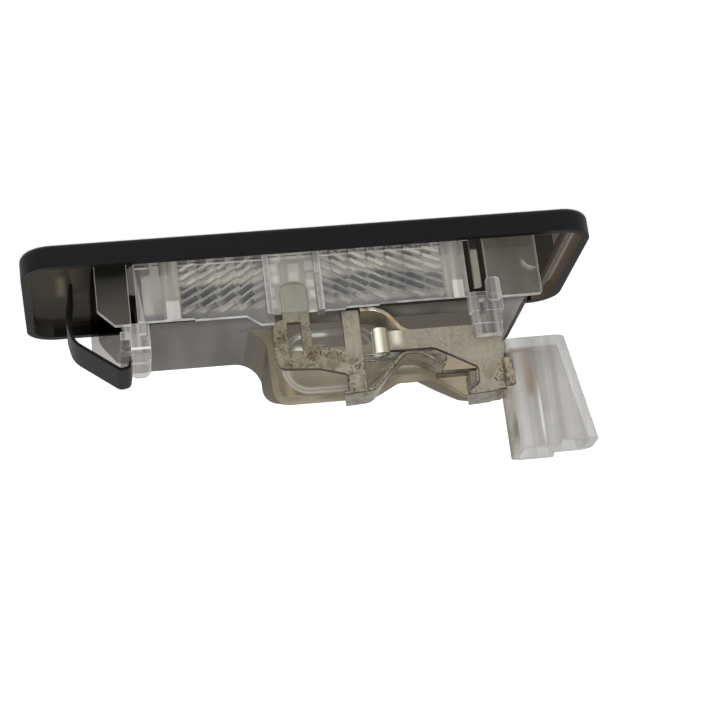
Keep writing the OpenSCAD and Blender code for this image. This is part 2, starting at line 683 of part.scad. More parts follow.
// Coiled filament, a round wire swept along a helix between the two posts.
module bulb_filament() {
    sides = 6;
    steps = 10 * coil_turns;
    span = 2 * (lead_y - lead_r - filament_r - 0.03);
    path = [for (i = [0:steps]) let (a = 360 * coil_turns * i / steps)
        [coil_r * cos(a), span * (i / steps - 0.5), coil_r * sin(a)]];
    points = [for (i = [0:steps]) let (a = 360 * coil_turns * i / steps, c = path[i])
        for (k = [0:sides - 1]) let (b = 360 * k / sides)
            c + filament_r * (cos(b) * [cos(a), 0, sin(a)] + sin(b) * [0, 1, 0])];
    faces = concat([[for (k = [0:sides - 1]) k]],
        [for (i = [0:steps - 1], k = [0:sides - 1]) let (n = (k + 1) % sides, o = i * sides)
            [o + k, o + sides + k, o + sides + n, o + n]],
        [[for (k = [sides - 1:-1:0]) steps * sides + k]]);
    color([0.4, 0.4, 0.4])
        translate([filament_x, bulb_y, bulb_z])
            polyhedron(points, faces);
}

bezel();
prism_lens();
back_shell();
contact_carrier();
supply_contact();
return_contact();
clip_spring();
bulb_glass();
bulb_lead_upper();
bulb_lead_lower();
bulb_filament();
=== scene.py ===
"""Looks of the number plate lamp: it lies on its bezel, and the camera sees its back upside down.

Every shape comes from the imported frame. This script gives each node its finishes, chosen facet by
facet, and adds the floor, the lamps and the camera.
"""

import bpy
from mathutils import Matrix, Vector


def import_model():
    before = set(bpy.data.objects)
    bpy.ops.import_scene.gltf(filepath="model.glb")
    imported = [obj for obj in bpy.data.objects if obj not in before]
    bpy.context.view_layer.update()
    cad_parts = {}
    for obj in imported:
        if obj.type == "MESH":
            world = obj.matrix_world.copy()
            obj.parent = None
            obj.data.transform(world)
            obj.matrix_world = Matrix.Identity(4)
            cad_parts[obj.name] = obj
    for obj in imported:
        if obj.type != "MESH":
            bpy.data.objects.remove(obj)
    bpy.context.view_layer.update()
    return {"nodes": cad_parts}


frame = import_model()
nodes = frame["nodes"]
MM = 0.001

# Places in the lamp that the finishes follow, in millimetres: +X is the spring end, -X the plug
# end, -Y the side with the strips, and Z grows from the lens to the back.

# Bezel: its plate's inside, the rim of its skirt, and the slanting ends with the plug end's ridge
BEZEL_FLOOR = 1.4
RIM = 4.0
END_SLOPE = 40.5
RIDGE_END = -40.0
RIDGE_TOP = 3.6

# Lens: flange, side wall with its prisms and thick ribs, and the pocket of the long strip
FLANGE_TOP = 2.4
WALL_FRONT = -14.0
WALL_BACK = -13.0
WALL_EDGE = 12.8
PRISM_COLUMNS = 14
PRISMS = (-20.9, 21.3)
PRISM_PITCH = (PRISMS[1] - PRISMS[0]) / PRISM_COLUMNS
PRISM_FOOT = 3.4
ROW_PITCH = 1.45
FAN_MIDDLE = 3.35
DASH_START = -50.0
RIBS = ((-24.6, -20.9), (21.3, 24.2))
POCKET = (-0.3, 7.0)

# Lens, beyond the ribs: latch tabs, last post, the plug end's arm, the spring's anchor, a glint
TABS = (RIBS[0][0] - 3.2, RIBS[1][1] + 5.1)
LAST_POST = RIBS[1][1] + 2.9
ARM_END = RIBS[0][0] - 5.3
ARM_FOOT = WALL_EDGE - 3.1
LEDGE = 16.9
GLINT = (-35.8, 7.0)

# Shell: near side, flat back, thin end, and the hump with the bay for the bulb
SHELL_NEAR = -11.45
SHELL_BACK = 12.7
SHELL_END = 30
BAY_CUT = -4.9
BAY_END = 6.4
BAY_MIDDLE = (-9.0, 2.0, 17.0)

# Strips and plug shroud
PLATE = (-12.3, -11.7)
PLATE_END = -29.0
EYE = (-10.9, -7.9)
LEAD_IN = 17.1
FOOT_END = -30.5
SHROUD_TOP = 35

# Light, the lamps as place in metres and watts
WORLD_LEVEL = 0.46
GROUND_SIZE = 6
GROUND_DROP = 0.02
GROUND_PAINT = 0.8
GROUND_GLOW = 0.55
LAMP_SIZE = 1.2
LAMP_AIM = Vector((0, 0, 15)) * MM
KEY = ((0.5, -2.2, 1.5), 45)
FILL = ((-1.6, -1.5, 1.2), 18)

# Camera
CAMERA_PLACE = Vector((40.15, -329.02, 125.81)) * MM
CAMERA_RIGHT = Vector((-0.9873, -0.1046, 0.1193))
CAMERA_FORWARD = Vector((-0.1371, 0.9410, -0.3095))
FOCAL_LENGTH = 106.447
SENSOR_WIDTH = 36
CLIP_START = 0.01


def srgb(r, g, b):
    """A colour given as it is seen, 0 to 255, turned into linear values."""
    def linear(v):
        v /= 255
        return v / 12.92 if v <= 0.04045 else ((v + 0.055) / 1.055) ** 2.4
    return (linear(r), linear(g), linear(b), 1)


class Finish:
    """A Principled material with a few short cuts for its nodes."""

    def __init__(self, name, colour, roughness=0.5, **sockets):
        self.material = bpy.data.materials.new(name)
        self.material.use_nodes = True
        self.tree = self.material.node_tree
        self.shader = self.tree.nodes["Principled BSDF"]
        self.set("Base Color", colour)
        self.set("Roughness", roughness)
        for socket, value in sockets.items():
            self.set(socket.replace("_", " "), value)

    def set(self, socket, value):
        self.shader.inputs[socket].default_value = value

    def drive(self, socket, source):
        """Links a value to a socket of the shader."""
        self.link(source, self.shader.inputs[socket])

    def colour(self, source):
        self.drive("Base Color", source)

    def hide(self, source):
        """Sets how much of what lies behind is hidden."""
        self.drive("Alpha", source)

    def node(self, kind, **settings):
        made = self.tree.nodes.new(kind)
        for key, value in settings.items():
            setattr(made, key, value)
        return made

    def link(self, source, target):
        self.tree.links.new(source, target)

    # Where a point lies and which way it faces

    def position(self):
        """The place of a point in the lamp, in metres."""
        return self.node("ShaderNodeTexCoord").outputs["Object"]

    def place(self, axis):
        """One coordinate of the point, in millimetres."""
        parts = self.node("ShaderNodeSeparateXYZ")
        self.link(self.position(), parts.inputs[0])
        return self.times(parts.outputs[axis], 1 / MM)

    def normal(self, axis):
        """One part of the facet's normal."""
        parts = self.node("ShaderNodeSeparateXYZ")
        self.link(self.node("ShaderNodeNewGeometry").outputs["Normal"], parts.inputs[0])
        return parts.outputs[axis]

    def rounded_normal(self, radius_mm, samples):
        """The normal that the facet would have with its edges rounded off."""
        bevel = self.node("ShaderNodeBevel", samples=samples)
        bevel.inputs["Radius"].default_value = radius_mm * MM
        return bevel.outputs["Normal"]

    def turned_away(self):
        """0 where a face is seen straight on, 1 where it is seen along its surface."""
        return self.node("ShaderNodeLayerWeight").outputs["Facing"]

    # Arithmetic on numbers and sockets

    def math(self, operation, a, b=None):
        node = self.node("ShaderNodeMath", operation=operation)
        for socket, value in zip(node.inputs, (a, b)):
            if value is None:
                continue
            if isinstance(value, (int, float)):
                socket.default_value = value
            else:
                self.link(value, socket)
        return node.outputs[0]

    def times(self, a, *others):
        for other in others:
            a = self.math("MULTIPLY", a, other)
        return a

    def most(self, a, *others):
        for other in others:
            a = self.math("MAXIMUM", a, other)
        return a

    def plus(self, a, b):
        return self.math("ADD", a, b)

    def minus(self, a, b):
        return self.math("SUBTRACT", a, b)

    def over(self, a, b):
        return self.math("DIVIDE", a, b)

    def fraction(self, a):
        return self.math("FRACT", a)

    def ramp(self, source, low, high, start=0.0, end=1.0):
        """Maps a value between low and high to start and end, clamped."""
        node = self.node("ShaderNodeMapRange")
        node.inputs["From Min"].default_value = low
        node.inputs["From Max"].default_value = high
        node.inputs["To Min"].default_value = start
        node.inputs["To Max"].default_value = end
        self.link(source, node.inputs["Value"])
        return node.outputs["Result"]

    def mix(self, factor, a, b):
        """The colour a where the factor is 0, b where it is 1."""
        node = self.node("ShaderNodeMix", data_type="RGBA")
        for socket, value in ((node.inputs[0], factor), (node.inputs[6], a), (node.inputs[7], b)):
            if isinstance(value, (tuple, float)):
                socket.default_value = value
            else:
                self.link(value, socket)
        return node.outputs[2]

    # Patterns and masks

    def noise(self, scale, detail=3, stretch=(1, 1, 1)):
        mapping = self.node("ShaderNodeMapping")
        mapping.inputs["Scale"].default_value = stretch
        self.link(self.position(), mapping.inputs["Vector"])
        noise = self.node("ShaderNodeTexNoise")
        noise.inputs["Scale"].default_value = scale
        noise.inputs["Detail"].default_value = detail
        self.link(mapping.outputs["Vector"], noise.inputs["Vector"])
        return noise.outputs["Fac"]

    def band(self, axis, low, high, edge=0.06):
        """1 where a coordinate of the point lies between low and high, else 0."""
        place = self.place(axis)
        rise = self.ramp(place, low - edge, low + edge)
        fall = self.ramp(place, high - edge, high + edge, 1.0, 0.0)
        return self.times(rise, fall)

    def outline(self, radius_mm, strength=1.0):
        """1 close to the sharp edges of the shape, 0 away from them."""
        product = self.node("ShaderNodeVectorMath", operation="DOT_PRODUCT")
        self.link(self.rounded_normal(radius_mm, 8), product.inputs[0])
        self.link(self.node("ShaderNodeNewGeometry").outputs["Normal"], product.inputs[1])
        return self.ramp(product.outputs["Value"], 0.8, 0.995, strength, 0.0)

    def edge_towards(self, axis, radius_mm):
        """1 close to the sharp edges whose other face looks along an axis."""
        parts = self.node("ShaderNodeSeparateXYZ")
        self.link(self.rounded_normal(radius_mm, 8), parts.inputs[0])
        return self.ramp(self.minus(parts.outputs[axis], self.normal(axis)), 0.08, 0.26)

    # Steps that finish a material

    def soften(self, radius_mm, height=None, depth_mm=0.0):
        """Rounds the look of sharp edges, with a fine relief on top."""
        normal = self.rounded_normal(radius_mm, 4)
        if height is not None:
            bump = self.node("ShaderNodeBump")
            bump.inputs["Distance"].default_value = depth_mm * MM
            self.link(height, bump.inputs["Height"])
            self.link(normal, bump.inputs["Normal"])
            normal = bump.outputs["Normal"]
        self.drive("Normal", normal)

    def see_through(self, alpha, grazing=0.9, where=None):
        """Lets light pass: alpha is how much a face hides when seen straight on."""
        hidden = self.ramp(self.turned_away(), 0.35, 1.0, alpha, grazing)
        if where is not None:
            hidden = self.times(hidden, where)
        self.hide(hidden)


# Bezel

def black_bezel():
    """Black, with the brown of the floor on the rim of the spring end."""
    f = Finish("black_bezel", srgb(12, 12, 12), 0.5, Specular_IOR_Level=0.12)
    grain = f.ramp(f.noise(60, 4, (0.3, 1, 6)), 0.3, 0.7)
    black = f.mix(grain, srgb(9, 9, 9), srgb(17, 17, 16))
    near_rim = f.times(f.ramp(f.normal("Z"), 0.8, 0.9), f.ramp(f.place("Y"), 5.0, -6.0))
    at_spring = f.times(near_rim, f.ramp(f.place("X"), 41.0, 43.5))
    f.colour(f.mix(at_spring, black, srgb(32, 28, 24)))
    f.soften(0.25, f.noise(2600), 0.02)
    return f.material


def bezel_floor():
    """The bezel's inside, a glossy brown under the clear flange, with painted shade and
    reflections.

    The flange's underside lies face to face with it and wears the same finish. Each takes light
    from the other, and a faint glow makes up for that.
    """
    f = Finish("bezel_floor", srgb(60, 53, 46), 0.3, Specular_IOR_Level=0.2)
    blotch = f.ramp(f.noise(70, 3, (1, 0.5, 1)), 0.3, 0.7)
    brown = f.mix(blotch, srgb(64, 57, 47), srgb(96, 87, 74))
    # At the plug end, sloping faces get painted shade and flat faces painted light.
    slope_shade_or_flat_light = f.mix(f.ramp(f.normal("Z"), 0.3, 0.7), srgb(84, 73, 62), srgb(132, 124, 112))
    brown = f.mix(f.ramp(f.place("X"), -38.0, -36.0, 1.0, 0.0), brown, slope_shade_or_flat_light)
    # A light bar painted on the glossy floor: a painted reflection of the spring.
    reflection_bar = f.times(f.band("X", 39.2, 40.4, 0.5), f.band("Y", -5.5, 3.0, 1.0))
    brown = f.mix(reflection_bar, brown, srgb(138, 129, 112))

    # Painted shade towards the far side and under the spring, and dark bars of painted reflection.
    painted_far_shade = f.times(f.ramp(f.place("Y"), 3.0, 14.0), f.ramp(f.place("X"), -38.0, -36.0))
    shade_under_spring = f.times(f.band("X", 28.0, 36.8, 0.8), f.band("Y", -9.5, 2.0, 2.0))
    two_reflection_bars = f.most(f.band("Y", 0.2, 2.2, 0.5), f.band("Y", 5.6, 7.4, 0.5))
    reflection_bars = f.times(f.band("X", 30.0, 38.8, 0.5), two_reflection_bars)
    dark = f.most(painted_far_shade, f.times(f.most(shade_under_spring, reflection_bars), 0.85))
    shown = f.mix(dark, brown, srgb(42, 40, 35))
    f.colour(shown)
    # A painted glow of the shown colour stands in for the missing light.
    f.drive("Emission Color", shown)
    f.set("Emission Strength", 0.33)
    return f.material


def bezel_ridge():
    f = Finish("bezel_ridge", srgb(72, 67, 60), 0.4, Specular_IOR_Level=0.2)
    f.soften(0.3)
    return f.material


# Lens

def lens_base():
    """The flange: nearly unseen, it glazes the brown floor below it."""
    f = Finish("lens_base", srgb(62, 55, 48), 0.15, Specular_IOR_Level=0.08)
    f.see_through(0.2, 0.4)
    return f.material


def uncovered(f, edge=WALL_EDGE + 0.52):
    """0 where the long strip lies bare past the wall's edge, else 1."""
    over_strip = f.times(f.band("X", POCKET[0] - 1, POCKET[1] - 0.1), f.band("Z", edge, edge + 4))
    return f.minus(1.0, over_strip)


def prism_columns(f):
    """Counts the columns of prisms from the plug end."""
    return f.over(f.minus(f.place("X"), PRISMS[0]), PRISM_PITCH)


def prism_rows(f):
    """0 to 1 across each slanting row of prisms, with the ridge half way."""
    row = f.over(f.minus(f.place("Z"), PRISM_FOOT), ROW_PITCH)
    way = f.ramp(f.place("X"), FAN_MIDDLE - 0.05, FAN_MIDDLE + 0.05, -1.0, 1.0)
    return f.fraction(f.plus(f.minus(row, f.times(prism_columns(f), way)), 0.5))


def prism_depth(f):
    """1 in the band of painted shade over the prisms, with a wavy edge."""
    bend = f.times(f.noise(130, 2), 3.2)
    height = f.plus(f.place("Z"), f.minus(bend, 1.6))
    return f.times(f.ramp(height, 6.8, 7.8), f.ramp(height, 10.4, 11.4, 1.0, 0.3))


def lens_wall():
    """The wall's front: clear, with a painted highlight line and thin dark dashes along the bezel's
    rim.
    """
    clear = srgb(206, 203, 194)
    f = Finish("lens_wall", clear, 0.05)
    streak = f.ramp(f.noise(420, 2, (1, 1, 0.08)), 0.35, 0.7)
    body = f.mix(streak, srgb(140, 137, 129), clear)
    # The light line is a painted highlight along the bezel's rim.
    broken = f.ramp(f.noise(300, 3), 0.3, 0.55, 0.35, 1.0)
    line = f.times(f.band("Z", RIM + 0.06, RIM + 0.3), broken)
    along = f.fraction(f.over(f.minus(f.place("X"), DASH_START), PRISM_PITCH))
    dash = f.times(f.band("Z", RIM - 0.3, RIM - 0.12, 0.03), f.ramp(along, 0.35, 0.4))
    f.colour(f.mix(dash, f.mix(line, body, srgb(208, 206, 199)), srgb(62, 60, 58)))
    marks = f.times(f.most(line, dash), 0.75)
    hidden = f.most(f.ramp(f.turned_away(), 0.35, 1.0, 0.18, 0.9), marks)
    f.hide(f.times(hidden, uncovered(f)))
    f.soften(0.12)
    return f.material


def lens_back():
    """The wall's inner face: cream with the prisms' rows carried on in painted light and shade, and
    clear over the strip.
    """
    f = Finish("lens_back", srgb(186, 182, 171), 0.1, Specular_IOR_Level=0.3)
    streak = f.ramp(f.noise(260, 3, (1, 1, 0.25)), 0.35, 0.65)
    plain = f.mix(streak, srgb(134, 130, 122), srgb(182, 178, 168))
    among_prisms = f.mix(streak, srgb(144, 140, 132), srgb(184, 180, 171))
    fan = f.band("X", PRISMS[0], PRISMS[1], 0.1)
    cream = f.mix(fan, among_prisms, plain)

    # Darker corners, a dark low band and a dark middle band: painted shade.
    height = f.place("Z")
    column = f.fraction(prism_columns(f))
    below_slant = f.math("LESS_THAN", height, f.plus(4.6, f.times(column, 0.8)))
    corner = f.times(below_slant, f.ramp(column, 0.45, 0.5), 0.8)
    low = f.ramp(height, 11.4, 12.0, 0.0, 0.75)
    middle = f.times(f.ramp(height, 6.9, 8.6), fan, 0.35)
    between = f.mix(f.most(corner, low, middle), cream, srgb(76, 77, 84))

    # Each row gets a painted lit half and a painted shaded half, with painted shade in the dark
    # band.
    across = prism_rows(f)
    lit_and_shaded_slopes = f.mix(f.ramp(across, 0.45, 0.55), srgb(194, 190, 181), srgb(140, 136, 128))
    ridge = f.mix(prism_depth(f), lit_and_shaded_slopes, srgb(54, 58, 70))
    on_row = f.times(f.ramp(across, 0.2, 0.28), f.ramp(across, 0.72, 0.8, 1.0, 0.0))
    on_ridge = f.times(on_row, f.band("Z", 4.4, 11.9, 0.3), fan, 0.75)
    f.colour(f.mix(on_ridge, between, ridge))

    beside_pocket = f.ramp(f.band("X", POCKET[0], POCKET[1], 0.1), 0.0, 1.0, 1.0, 0.1)
    f.see_through(0.86, 0.95, f.times(beside_pocket, uncovered(f)))
    return f.material


def prism_slope(name, light, dark):
    """A side of the prisms in painted light or painted shade, darkened by painted shade in a band.
    """
    f = Finish(name, light, 0.12, Specular_IOR_Level=0.4)
    vary = f.ramp(f.noise(330, 3), 0.35, 0.65)
    f.colour(f.mix(prism_depth(f), f.mix(vary, light, srgb(172, 168, 158)), dark))
    f.see_through(0.93, 0.97)
    return f.material


def lens_rim():
    """Cut edges of the clear plastic, which gather light."""
    f = Finish("lens_rim", srgb(200, 199, 197), 0.12)
    vary = f.ramp(f.noise(500, 3), 0.3, 0.7)
    f.colour(f.mix(vary, srgb(150, 149, 147), srgb(226, 225, 223)))
    f.see_through(0.8, 0.9, uncovered(f))
    return f.material


def lens_side():
    """Narrow upright faces: painted light on those facing the spring end, painted shade on those
    facing the plug end.
    """
    f = Finish("lens_side", srgb(120, 116, 108), 0.1)
    f.colour(f.mix(f.ramp(f.normal("X"), -0.2, 0.2), srgb(58, 56, 52), srgb(222, 220, 214)))
    f.see_through(0.6, 0.85, uncovered(f, WALL_EDGE + 0.72))
    return f.material


def lens_rib():
    """The thick ribs: clear, with a painted highlight as a white block at the end by the wall's
    edge.
    """
    f = Finish("lens_rib", srgb(196, 192, 183), 0.08, Specular_IOR_Level=0.3)
    streak = f.ramp(f.noise(900, 2, (1, 1, 0.04)), 0.35, 0.7)
    clear = f.mix(streak, srgb(132, 128, 120), srgb(192, 188, 179))
    white = f.mix(streak, srgb(168, 165, 159), srgb(204, 202, 197))
    middle = f.most(f.band("X", RIBS[0][0] + 0.8, RIBS[0][1] - 1.1),
                    f.band("X", RIBS[1][0] + 0.3, RIBS[1][1] - 0.5))
    # The white block is a painted highlight.
    block = f.times(middle, f.ramp(f.place("Z"), 9.9, 10.3))
    f.colour(f.mix(block, clear, white))
    f.hide(f.ramp(block, 0.0, 1.0, 0.5, 0.9))
    f.soften(0.15)
    return f.material


def lens_post():
    """Posts and guide ribs: clear between two edges with painted highlights."""
    f = Finish("lens_post", srgb(214, 212, 206), 0.08)
    streak = f.ramp(f.noise(700, 2, (1, 1, 0.03)), 0.4, 0.62)
    # The bright edges are painted highlights.
    edge = f.outline(0.28, 0.8)
    body = f.mix(streak, srgb(122, 119, 113), srgb(206, 204, 198))
    f.colour(f.mix(edge, body, srgb(220, 218, 213)))
    f.hide(f.times(f.ramp(edge, 0.0, 1.0, 0.45, 0.9), uncovered(f, WALL_EDGE + 0.72)))
    return f.material


def lens_slit_post():
    """The thin post in the dark slit, a dull grey that is dark at its foot."""
    f = Finish("lens_slit_post", srgb(138, 132, 121), 0.2, Specular_IOR_Level=0.2)
    f.colour(f.mix(f.ramp(f.place("Z"), 4.9, 5.3), srgb(46, 45, 42), srgb(136, 130, 119)))
    f.see_through(0.85, 0.95)
    return f.material


def lens_block():
    """Arm and anchor: small clear blocks with upright streaks, and painted highlights on their
    edges and on the anchor's ledge.
    """
    f = Finish("lens_block", srgb(196, 193, 185), 0.06)
    streak = f.ramp(f.noise(800, 2, (1, 1, 0.03)), 0.38, 0.62)
    body = f.mix(streak, srgb(84, 82, 78), srgb(206, 203, 197))
    anchor = f.ramp(f.place("X"), 0.0, 1.0)
    past_ledge = f.times(anchor, f.ramp(f.place("Z"), LEDGE, LEDGE + 0.6, 0.0, 0.75))
    body = f.mix(past_ledge, body, srgb(150, 141, 136))
    # The bright edges and the ledge line are painted highlights.
    edge = f.times(f.outline(0.3, 0.75), f.ramp(f.noise(400, 2), 0.35, 0.6, 0.35, 1.0))
    ledge = f.times(f.band("Z", LEDGE - 0.2, LEDGE + 0.2), anchor)
    bright = f.most(edge, ledge)
    f.colour(f.mix(bright, body, srgb(230, 229, 225)))
    f.hide(f.ramp(bright, 0.0, 1.0, 0.48, 0.85))
    return f.material


def lens_tab():
    """The latch tabs, which show the dark inside of the bezel through them, with a painted glint
    and painted highlights on their edges.
    """
    f = Finish("lens_tab", srgb(120, 115, 106), 0.08, Specular_IOR_Level=0.3)
    streak = f.ramp(f.noise(150, 2, (1, 1, 0.3)), 0.3, 0.7)
    grey = f.mix(streak, srgb(94, 90, 82), srgb(136, 130, 119))
    # A crescent of painted glint on the plug end's tab.
    aside = f.minus(f.place("X"), GLINT[0])
    above = f.minus(f.place("Z"), GLINT[1])
    reach = f.math("SQRT", f.plus(f.times(aside, aside), f.times(above, above)))
    ring = f.times(f.ramp(reach, 1.6, 1.8), f.ramp(reach, 1.9, 2.2, 1.0, 0.0))
    part = f.times(f.ramp(above, 0.0, 0.8), f.ramp(aside, -0.6, 0.6, 0.15, 0.55))
    glint = f.times(ring, part)
    plug_tab = f.mix(glint, grey, srgb(206, 203, 196))
    spring_tab = f.mix(f.ramp(f.place("Z"), 5.0, 12.0), srgb(30, 29, 26), srgb(92, 88, 80))
    plain = f.mix(f.ramp(f.place("X"), 0.0, 1.0), plug_tab, spring_tab)
    # The bright edges are painted highlights.
    edge = f.outline(0.2)
    f.colour(f.mix(edge, plain, srgb(206, 204, 199)))
    f.hide(f.ramp(f.most(edge, glint), 0.0, 1.0, 0.4, 0.9))
    return f.material


# Shell

def smoke(f):
    """The tint of the clear smoke, deeper near the bezel."""
    return f.mix(f.ramp(f.place("Z"), 5.0, 13.0), srgb(148, 145, 143), srgb(170, 167, 165))


def clear_end(f):
    """Turns the shell into a smoke filter beyond the spring's anchor."""
    end = f.ramp(f.place("X"), 27.0, 28.0)
    f.drive("Transmission Weight", end)
    return end


def shell_back():
    """The smoky grey of the shell, with painted shade along the clear wall."""
    f = Finish("shell_back", srgb(104, 101, 97), 0.3, IOR=1.0, Coat_Weight=0.25)
    streak = f.ramp(f.noise(110, 2, (1, 0.15, 1)), 0.35, 0.65)
    grey = f.mix(streak, srgb(108, 105, 99), srgb(141, 138, 132))
    grey = f.mix(f.ramp(f.place("X"), -24.0, -30.0), grey, srgb(146, 142, 136))
    # Painted shade: darker close to the clear wall.
    away_from_wall = f.ramp(f.place("Y"), SHELL_NEAR, SHELL_NEAR + 3.5)
    shown = f.mix(away_from_wall, srgb(86, 83, 79), grey)
    f.colour(f.mix(clear_end(f), shown, smoke(f)))
    f.soften(0.35)
    return f.material


def shell_inner():
    """The shell's inside, with a painted glow for the light that the smoky plastic lets in."""
    f = Finish("shell_inner", srgb(96, 92, 86), 0.3, IOR=1.0)
    lit = srgb(104, 100, 92)
    end = clear_end(f)
    f.colour(f.mix(end, lit, smoke(f)))
    f.set("Emission Color", lit)
    f.drive("Emission Strength", f.ramp(end, 0.0, 1.0, 0.6, 0.0))
    return f.material


def shell_end():
    """The shell's thin ends, grey before white and black before the bezel."""
    f = Finish("shell_end", srgb(200, 196, 195), 0.02, IOR=1.0, Transmission_Weight=1.0)
    f.colour(smoke(f))
    return f.material


def shell_hump():
    """The hump's outer side, a beige smoke that turns grey towards the box."""
    f = Finish("shell_hump", srgb(140, 132, 116), 0.4, IOR=1.02)
    beige = f.mix(f.ramp(f.turned_away(), 0.5, 1.0), srgb(142, 134, 116), srgb(122, 115, 100))
    f.colour(f.mix(f.ramp(f.place("X"), 7.6, 9.6), beige, srgb(118, 114, 107)))
    f.soften(0.3)
    return f.material


def shell_side():
    """The shell's wall behind the lens: dark, with blocks of light behind the strip's pocket."""
    f = Finish("shell_side", srgb(72, 69, 64), 0.3, IOR=1.0)
    blocks = f.node("ShaderNodeTexVoronoi", distance="CHEBYCHEV")
    blocks.inputs["Scale"].default_value = 480
    f.link(f.position(), blocks.inputs["Vector"])
    from_middle = f.ramp(blocks.outputs["Distance"], 0.15, 0.5)
    light = f.mix(from_middle, srgb(236, 233, 227), srgb(168, 164, 155))
    pocket = f.band("X", POCKET[0] - 0.3, POCKET[1] + 0.3, 0.3)
    shown = f.mix(pocket, srgb(50, 47, 43), light)
    f.colour(f.mix(clear_end(f), shown, smoke(f)))
    return f.material


def shell_bay():
    """The hump's inside, a warm beige that light shines through, shown by a painted glow, with
    painted glints.
    """
    f = Finish("shell_bay", srgb(150, 140, 118), 0.3, Specular_IOR_Level=0.15)
    cloud = f.ramp(f.noise(120, 3), 0.3, 0.7)
    spring_side = f.mix(cloud, srgb(122, 115, 97), srgb(158, 150, 131))
    # A yellowish upright band of painted glint.
    spring_side = f.mix(f.band("X", 2.6, 3.4, 0.6), spring_side, srgb(188, 176, 140))
    plug_side = f.mix(cloud, srgb(154, 145, 124), srgb(184, 174, 153))
    plain = f.mix(f.ramp(f.place("X"), -20.0, -25.0), spring_side, plug_side)
    # A painted highlight towards the plug end.
    glint = f.times(f.band("X", -32.0, -28.5, 1.5), f.ramp(f.place("Z"), 18.5, 21.0))
    beige = f.mix(glint, plain, srgb(216, 208, 188))
    f.colour(beige)
    # A painted glow of the beige, for the light that shines through.
    f.drive("Emission Color", beige)
    f.set("Emission Strength", 0.5)
    f.soften(0.4)
    return f.material


def shell_cut():
    """The hump's cut rim, beige with a dark edge."""
    f = Finish("shell_cut", srgb(138, 129, 108), 0.3, Specular_IOR_Level=0.2)
    beige = f.mix(f.ramp(f.noise(200, 3), 0.3, 0.7), srgb(118, 111, 94), srgb(148, 140, 121))
    f.colour(f.mix(f.outline(0.22), beige, srgb(86, 78, 62)))
    return f.material


# Plug shroud

def shroud_plastic():
    """Milky clear, with fine upright streaks, brown where the blade shows through, and a painted
    highlight line.
    """
    f = Finish("shroud_plastic", srgb(176, 174, 169), 0.2, Specular_IOR_Level=0.12)
    streak = f.ramp(f.noise(620, 2, (1, 1, 0.03)), 0.42, 0.68)
    foot = f.mix(streak, srgb(138, 136, 131), srgb(170, 168, 163))
    mouth = f.mix(streak, srgb(164, 162, 158), srgb(202, 200, 197))
    tone = f.mix(f.ramp(f.place("Z"), 20.0, 27.0), foot, mouth)
    tone = f.mix(f.ramp(f.place("X"), -33.4, -31.6, 0.0, 0.6), tone, srgb(216, 214, 210))

    front = f.ramp(f.normal("Y"), -0.4, -0.7)
    cloud = f.times(front, f.ramp(f.noise(260, 4), 0.3, 0.6))
    blade = f.times(f.band("X", -34.2, -32.6, 0.6), f.band("Z", 21.0, 29.0, 1.0), cloud)
    hook = f.times(f.band("X", -34.2, -31.0, 0.3), f.band("Z", 20.8, 21.5, 0.3), front)
    brown = f.times(f.most(blade, hook), 0.75)
    # A painted highlight line on the shroud's edge.
    bright = f.times(f.band("X", -34.7, -34.4, 0.2), f.band("Z", 28.0, 36.0, 2.0))
    f.colour(f.mix(bright, f.mix(brown, tone, srgb(124, 100, 72)), srgb(232, 231, 228)))
    f.hide(f.ramp(f.most(brown, bright), 0.0, 1.0, 0.56, 0.9))
    f.soften(0.3)
    return f.material


def shroud_foot():
    """The shroud's foot inside the hump, a bright blur."""
    f = Finish("shroud_foot", srgb(186, 179, 161), 0.4, Specular_IOR_Level=0.1)
    blur = f.ramp(f.noise(160, 2), 0.35, 0.65)
    f.colour(f.mix(blur, srgb(134, 126, 108), srgb(212, 205, 188)))
    f.see_through(0.8, 0.9)
    return f.material


def shroud_rim():
    f = Finish("shroud_rim", srgb(180, 177, 172), 0.15, Specular_IOR_Level=0.3)
    f.see_through(0.85, 0.95)
    f.soften(0.3)
    return f.material


# Strips, spring and bulb

